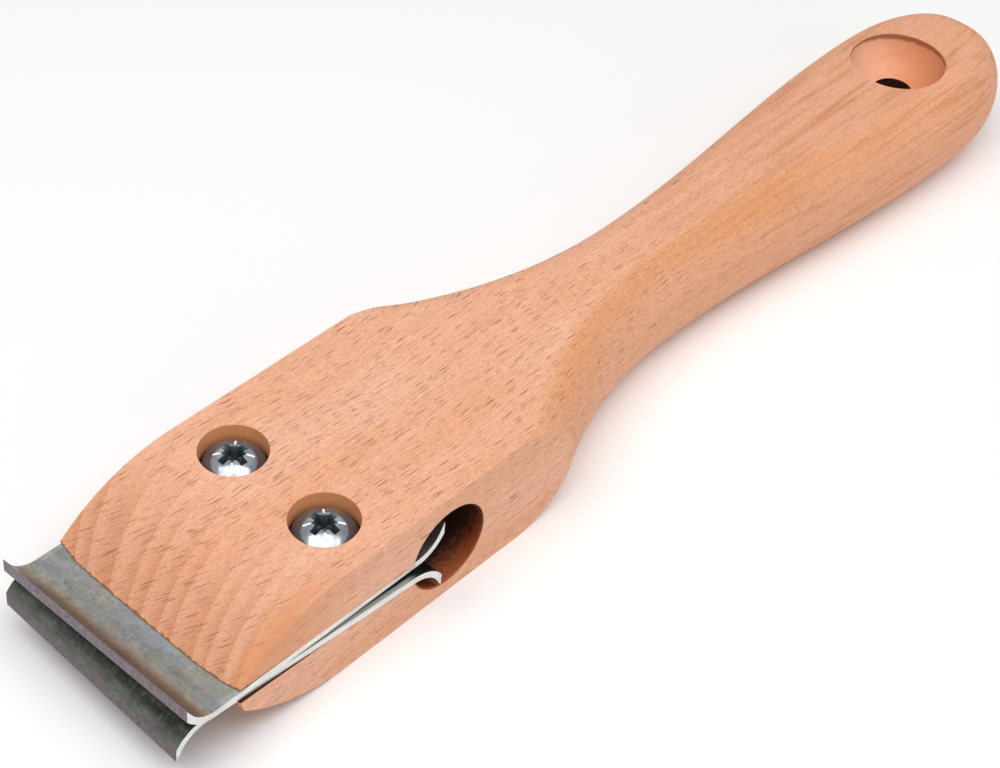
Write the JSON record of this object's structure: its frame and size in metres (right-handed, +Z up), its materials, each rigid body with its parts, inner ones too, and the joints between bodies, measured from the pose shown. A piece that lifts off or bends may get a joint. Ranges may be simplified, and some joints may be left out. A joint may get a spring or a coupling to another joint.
{
  "type": "wood scraper",
  "caption": "Hand scraper with a waisted wooden handle, a dished hang hole and a sawn fork that clamps double-ended hooked blades under recessed machine screws.",
  "frame": {"origin": "on the flat underside of the head, straight below the axis of the cross bore, half way across the width", "axes": "+X runs along the handle from the blades to the end of the grip, +Z is up, out of the face with the screw heads, and +Y is across the width"},
  "size_m": [0.2702, 0.0498, 0.0255],
  "materials": {
    "beech": "sanded and unfinished, with short dark ray flecks along the grain",
    "blade_steel": "rolled steel with a dull mottled oxide, bright on the cut edges",
    "zinc_plate": "bright zinc plate, slightly blue, dulled in the recess"
  },
  "bodies": {
    "handle": {"wooden_handle": "beech"},
    "upper_scraper": {"upper_blade": "blade_steel"},
    "lower_scraper": {"lower_blade": "blade_steel"},
    "left_screw": {"left_clamp_screw": "zinc_plate"},
    "right_screw": {"right_clamp_screw": "zinc_plate"},
    "left_captive_nut": {"left_nut": "zinc_plate"},
    "right_captive_nut": {"right_nut": "zinc_plate"}
  },
  "joints": [
    {"name": "upper_blade_slide", "type": "slide", "parent": "handle", "child": "upper_scraper", "axis": [-0.9995, -0.0157, 0.0292], "range_m": [-0.003, 0.0005]},
    {"name": "lower_blade_slide", "type": "slide", "parent": "handle", "child": "lower_scraper", "axis": [-0.9983, 0.0297, 0.0506], "range_m": [-0.003, 0.0005]},
    {"name": "left_screw_turn", "type": "hinge", "parent": "handle", "child": "left_screw", "pos_m": [-0.02, -0.012, 0], "axis": [0, 0, 1], "range_deg": [0, 540]},
    {"name": "right_screw_turn", "type": "hinge", "parent": "handle", "child": "right_screw", "pos_m": [-0.02, 0.012, 0], "axis": [0, 0, 1], "range_deg": [0, 540]},
    {"name": "left_nut_travel", "type": "slide", "parent": "handle", "child": "left_captive_nut", "axis": [0, 0, -1], "range_m": [0, 0.0016]},
    {"name": "right_nut_travel", "type": "slide", "parent": "handle", "child": "right_captive_nut", "axis": [0, 0, -1], "range_m": [0, 0.0016]}
  ],
  "couplings": [
    {"joint": "left_nut_travel", "follows": "left_screw_turn", "m_per_rad": 0.00015915},
    {"joint": "right_nut_travel", "follows": "right_screw_turn", "m_per_rad": 0.00015915}
  ]
}
